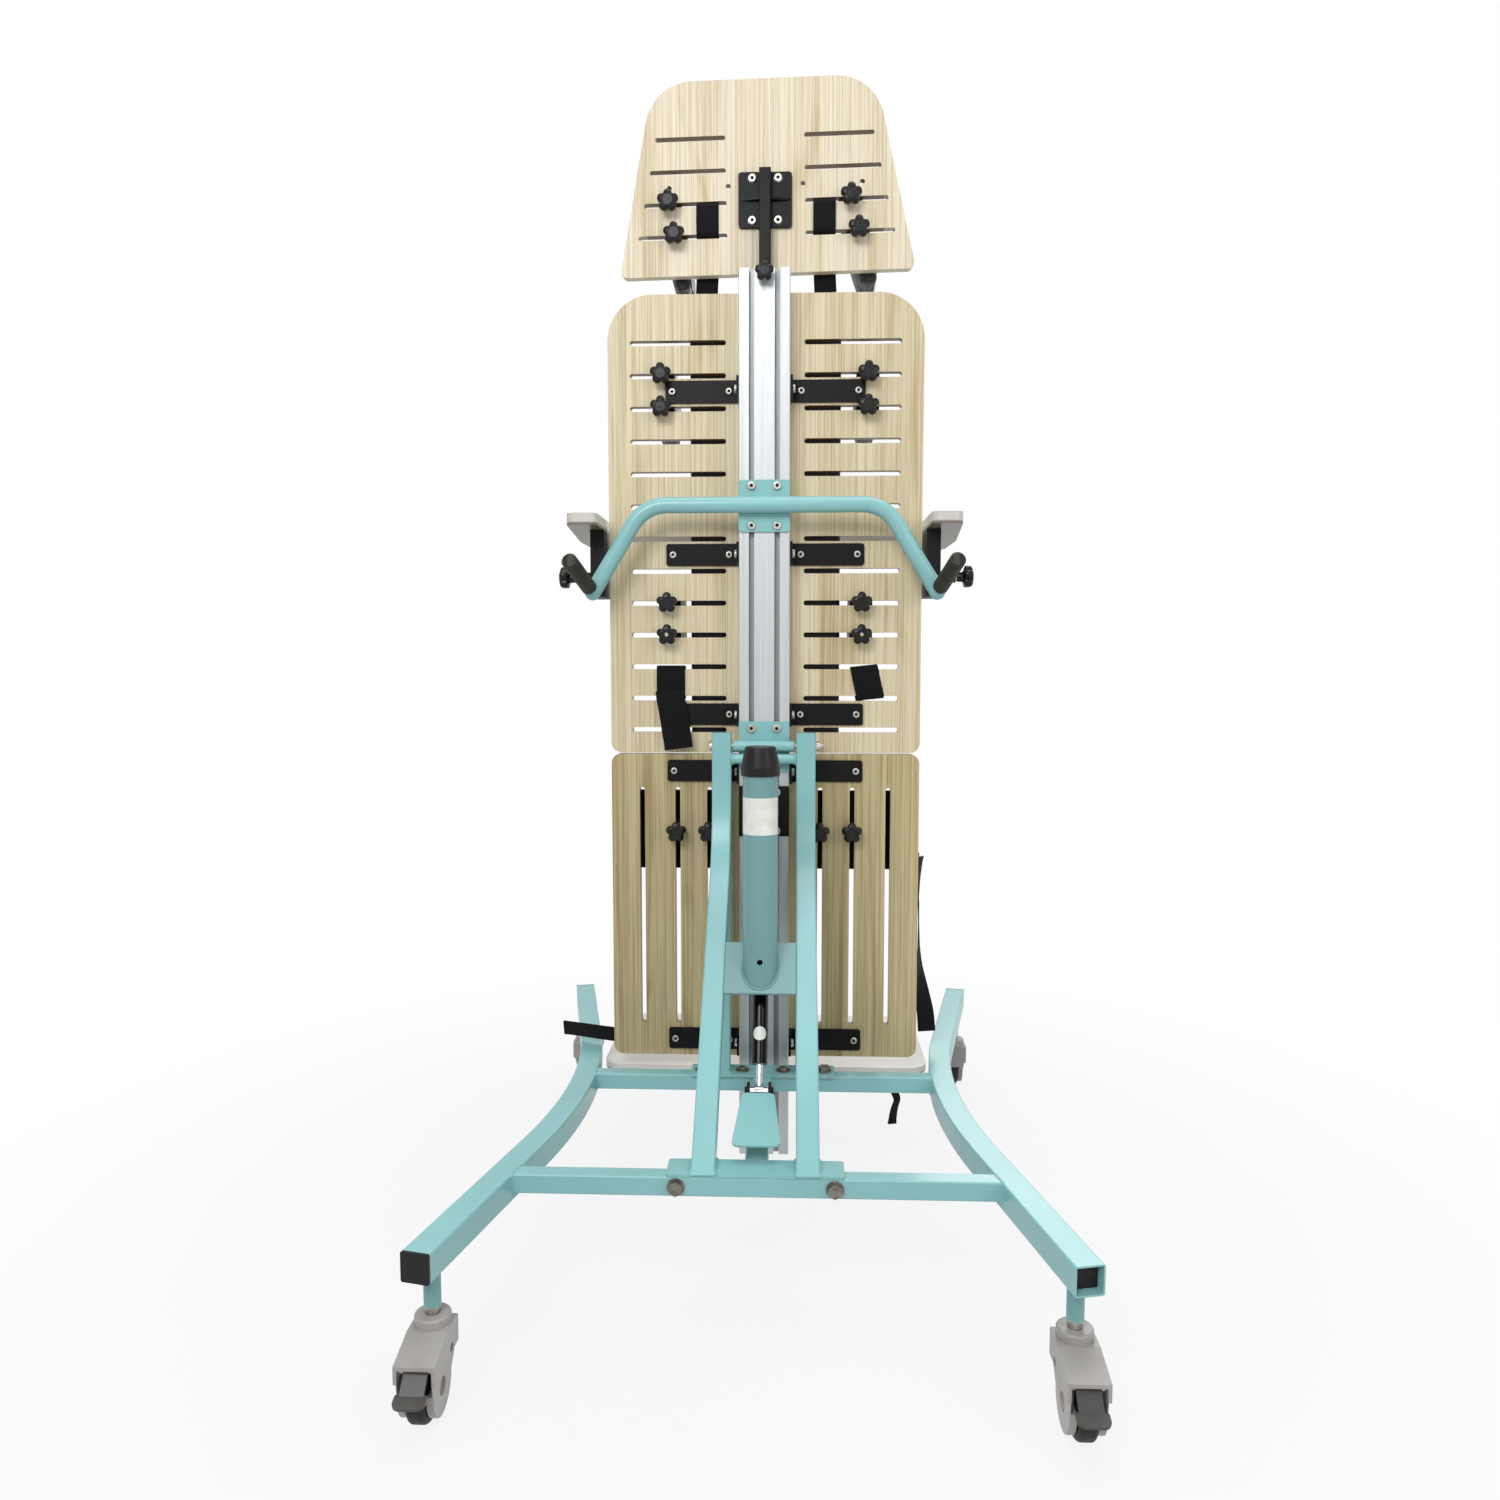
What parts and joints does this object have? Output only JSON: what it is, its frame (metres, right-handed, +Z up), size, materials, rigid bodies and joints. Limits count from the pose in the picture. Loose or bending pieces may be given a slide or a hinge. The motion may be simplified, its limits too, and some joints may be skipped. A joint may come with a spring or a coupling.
{
  "type": "physiotherapy tilt table",
  "caption": "Upright standing table on swivel casters: a slotted head, trunk and leg board on one spine that tilts flat, with tray, footplate, side supports and straps.",
  "frame": {"origin": "On the floor, under the middle of the base.", "axes": "+Z is up, +Y is the way the standing patient faces and +X is to the patient's right."},
  "size_m": [0.7656, 1.1194, 1.7313],
  "materials": {
    "teal_paint": "glossy powder coat",
    "black_metal": "satin powder coat",
    "oak_board": "clear satin lacquer",
    "spine_aluminium": "anodised satin",
    "vinyl_cushion": "matt upholstery vinyl",
    "black_webbing": "woven webbing",
    "zinc_steel": "zinc plated",
    "black_plastic": "fine grain",
    "black_rubber": "matt",
    "grip_rubber": "matt",
    "tray_laminate": "satin laminate",
    "footplate_laminate": "satin laminate",
    "chrome_rod": "polished",
    "black_cylinder": "gloss paint",
    "caster_grey": "satin",
    "brake_grey": "satin",
    "wheel_tread": "smooth"
  },
  "bodies": {
    "base": {"left_leg": "teal_paint", "right_leg": "teal_paint", "leg_end_caps": "black_plastic", "crossbars": "teal_paint", "centre_tube": "teal_paint", "rear_base_plate": "teal_paint", "base_bolts": "zinc_steel", "left_upright": "teal_paint", "right_upright": "teal_paint", "front_braces": "teal_paint", "pivot_cross_tube": "teal_paint", "pivot_bolt": "zinc_steel", "stop_post": "teal_paint", "stop_cap": "black_rubber", "pedal_bracket": "black_metal", "caster_stems": "zinc_steel"},
    "tilt_frame": {"spine": "spine_aluminium", "pivot_block": "teal_paint", "spring_bracket": "black_metal", "handle_bar": "teal_paint", "handle_grips": "grip_rubber", "trunk_board": "oak_board", "leg_board": "oak_board", "board_brackets": "black_metal", "frame_screws": "zinc_steel", "trunk_cushion": "vinyl_cushion", "board_straps": "black_webbing"},
    "head": {"head_post": "black_metal", "head_board": "oak_board", "head_straps": "black_webbing"},
    "head_knob": {"head_post_knob": "black_plastic"},
    "tray": {"tray_top": "tray_laminate", "tray_brackets": "black_plastic"},
    "tray_knobs": {"tray_knobs": "black_plastic"},
    "footplate": {"footplate": "footplate_laminate", "footplate_carriage": "black_metal", "foot_strap": "black_webbing"},
    "gas_spring_cylinder": {"gas_spring_cylinder": "black_cylinder"},
    "gas_spring_rod": {"gas_spring_rod": "chrome_rod"},
    "foot_pedal": {"foot_pedal": "teal_paint"},
    "left_head_support": {"left_head_support": "vinyl_cushion"},
    "left_chest_support": {"left_chest_support": "vinyl_cushion"},
    "left_hip_support": {"left_hip_support": "vinyl_cushion"},
    "left_knee_support": {"left_knee_support": "vinyl_cushion"},
    "right_head_support": {"right_head_support": "vinyl_cushion"},
    "right_chest_support": {"right_chest_support": "vinyl_cushion"},
    "right_hip_support": {"right_hip_support": "vinyl_cushion"},
    "right_knee_support": {"right_knee_support": "vinyl_cushion"},
    "front_left_fork": {"front_left_fork": "caster_grey"},
    "front_left_wheel": {"front_left_wheel": "wheel_tread"},
    "front_left_brake": {"front_left_brake": "brake_grey"},
    "front_right_fork": {"front_right_fork": "caster_grey"},
    "front_right_wheel": {"front_right_wheel": "wheel_tread"},
    "front_right_brake": {"front_right_brake": "brake_grey"},
    "rear_left_fork": {"rear_left_fork": "caster_grey"},
    "rear_left_wheel": {"rear_left_wheel": "wheel_tread"},
    "rear_left_brake": {"rear_left_brake": "brake_grey"},
    "rear_right_fork": {"rear_right_fork": "caster_grey"},
    "rear_right_wheel": {"rear_right_wheel": "wheel_tread"},
    "rear_right_brake": {"rear_right_brake": "brake_grey"}
  },
  "joints": [
    {"name": "tilt", "type": "hinge", "parent": "base", "child": "tilt_frame", "pos_m": [0, 0.09, 0.7], "axis": [1, 0, 0], "range_deg": [0, 90]},
    {"name": "gas_spring_turn", "type": "hinge", "parent": "tilt_frame", "child": "gas_spring_cylinder", "pos_m": [0, 0.06, 0.59], "axis": [1, 0, 0], "range_deg": [-98.22, 0]},
    {"name": "gas_spring_stroke", "type": "slide", "parent": "gas_spring_cylinder", "child": "gas_spring_rod", "axis": [0, -0.5102, -0.8601], "range_m": [0, 0.14599]},
    {"name": "head_height", "type": "slide", "parent": "tilt_frame", "child": "head", "axis": [0, 0, 1], "range_m": [0, 0.09]},
    {"name": "head_knob_turn", "type": "hinge", "parent": "tilt_frame", "child": "head_knob", "pos_m": [0, 0.095, 1.424], "axis": [0, 1, 0], "range_deg": [0, 360]},
    {"name": "left_head_support_shift", "type": "slide", "parent": "head", "child": "left_head_support", "axis": [0.9998, 0, 0.0209], "range_m": [-0.035, 0.006]},
    {"name": "right_head_support_shift", "type": "slide", "parent": "head", "child": "right_head_support", "axis": [0.9998, 0, 0.0209], "range_m": [-0.003, 0.035]},
    {"name": "left_chest_support_shift", "type": "slide", "parent": "tilt_frame", "child": "left_chest_support", "axis": [1, 0, 0], "range_m": [-0.045, 0.016]},
    {"name": "right_chest_support_shift", "type": "slide", "parent": "tilt_frame", "child": "right_chest_support", "axis": [1, 0, 0], "range_m": [-0.016, 0.045]},
    {"name": "left_hip_support_shift", "type": "slide", "parent": "tilt_frame", "child": "left_hip_support", "axis": [1, 0, 0], "range_m": [-0.045, 0.008]},
    {"name": "right_hip_support_shift", "type": "slide", "parent": "tilt_frame", "child": "right_hip_support", "axis": [1, 0, 0], "range_m": [-0.008, 0.045]},
    {"name": "left_knee_support_height", "type": "slide", "parent": "tilt_frame", "child": "left_knee_support", "axis": [0, 0, 1], "range_m": [-0.25, 0.05]},
    {"name": "right_knee_support_height", "type": "slide", "parent": "tilt_frame", "child": "right_knee_support", "axis": [0, 0, 1], "range_m": [-0.25, 0.05]},
    {"name": "tray_tilt", "type": "hinge", "parent": "tilt_frame", "child": "tray", "pos_m": [0, 0.1525, 0.967], "axis": [1, 0, 0], "range_deg": [0, 15]},
    {"name": "tray_knobs_turn", "type": "hinge", "parent": "tilt_frame", "child": "tray_knobs", "pos_m": [0, 0.1525, 0.967], "axis": [1, 0, 0], "range_deg": [0, 360]},
    {"name": "footplate_height", "type": "slide", "parent": "tilt_frame", "child": "footplate", "axis": [0, 0, 1], "range_m": [-0.01, 0.03]},
    {"name": "foot_pedal_press", "type": "hinge", "parent": "base", "child": "foot_pedal", "pos_m": [0, -0.2, 0.234], "axis": [1, 0, 0], "range_deg": [0, 10], "stiffness_Nm_per_rad": 0.9, "springref_deg": -9.74},
    {"name": "front_left_swivel", "type": "hinge", "parent": "base", "child": "front_left_fork", "pos_m": [-0.35813, 0.46876, 0.103], "axis": [0, 0, 1], "continuous": true},
    {"name": "front_left_roll", "type": "hinge", "parent": "front_left_fork", "child": "front_left_wheel", "pos_m": [-0.35813, 0.50076, 0.0375], "axis": [1, 0, 0], "continuous": true},
    {"name": "front_left_brake_press", "type": "hinge", "parent": "front_left_fork", "child": "front_left_brake", "pos_m": [-0.35813, 0.52576, 0.071], "axis": [-1, 0, 0], "range_deg": [0, 7]},
    {"name": "front_right_swivel", "type": "hinge", "parent": "base", "child": "front_right_fork", "pos_m": [0.35813, 0.46876, 0.103], "axis": [0, 0, 1], "continuous": true},
    {"name": "front_right_roll", "type": "hinge", "parent": "front_right_fork", "child": "front_right_wheel", "pos_m": [0.35813, 0.50076, 0.0375], "axis": [1, 0, 0], "continuous": true},
    {"name": "front_right_brake_press", "type": "hinge", "parent": "front_right_fork", "child": "front_right_brake", "pos_m": [0.35813, 0.52576, 0.071], "axis": [-1, 0, 0], "range_deg": [0, 7]},
    {"name": "rear_left_swivel", "type": "hinge", "parent": "base", "child": "rear_left_fork", "pos_m": [-0.35813, -0.46876, 0.103], "axis": [0, 0, 1], "continuous": true},
    {"name": "rear_left_roll", "type": "hinge", "parent": "rear_left_fork", "child": "rear_left_wheel", "pos_m": [-0.35813, -0.50076, 0.0375], "axis": [1, 0, 0], "continuous": true},
    {"name": "rear_left_brake_press", "type": "hinge", "parent": "rear_left_fork", "child": "rear_left_brake", "pos_m": [-0.35813, -0.52576, 0.071], "axis": [1, 0, 0], "range_deg": [0, 7]},
    {"name": "rear_right_swivel", "type": "hinge", "parent": "base", "child": "rear_right_fork", "pos_m": [0.35813, -0.46876, 0.103], "axis": [0, 0, 1], "continuous": true},
    {"name": "rear_right_roll", "type": "hinge", "parent": "rear_right_fork", "child": "rear_right_wheel", "pos_m": [0.35813, -0.50076, 0.0375], "axis": [1, 0, 0], "continuous": true},
    {"name": "rear_right_brake_press", "type": "hinge", "parent": "rear_right_fork", "child": "rear_right_brake", "pos_m": [0.35813, -0.52576, 0.071], "axis": [1, 0, 0], "range_deg": [0, 7]}
  ],
  "couplings": [
    {"joint": "gas_spring_turn", "follows": "tilt", "ratio": -1.0912},
    {"joint": "gas_spring_stroke", "follows": "tilt", "m_per_rad": 0.09291}
  ]
}
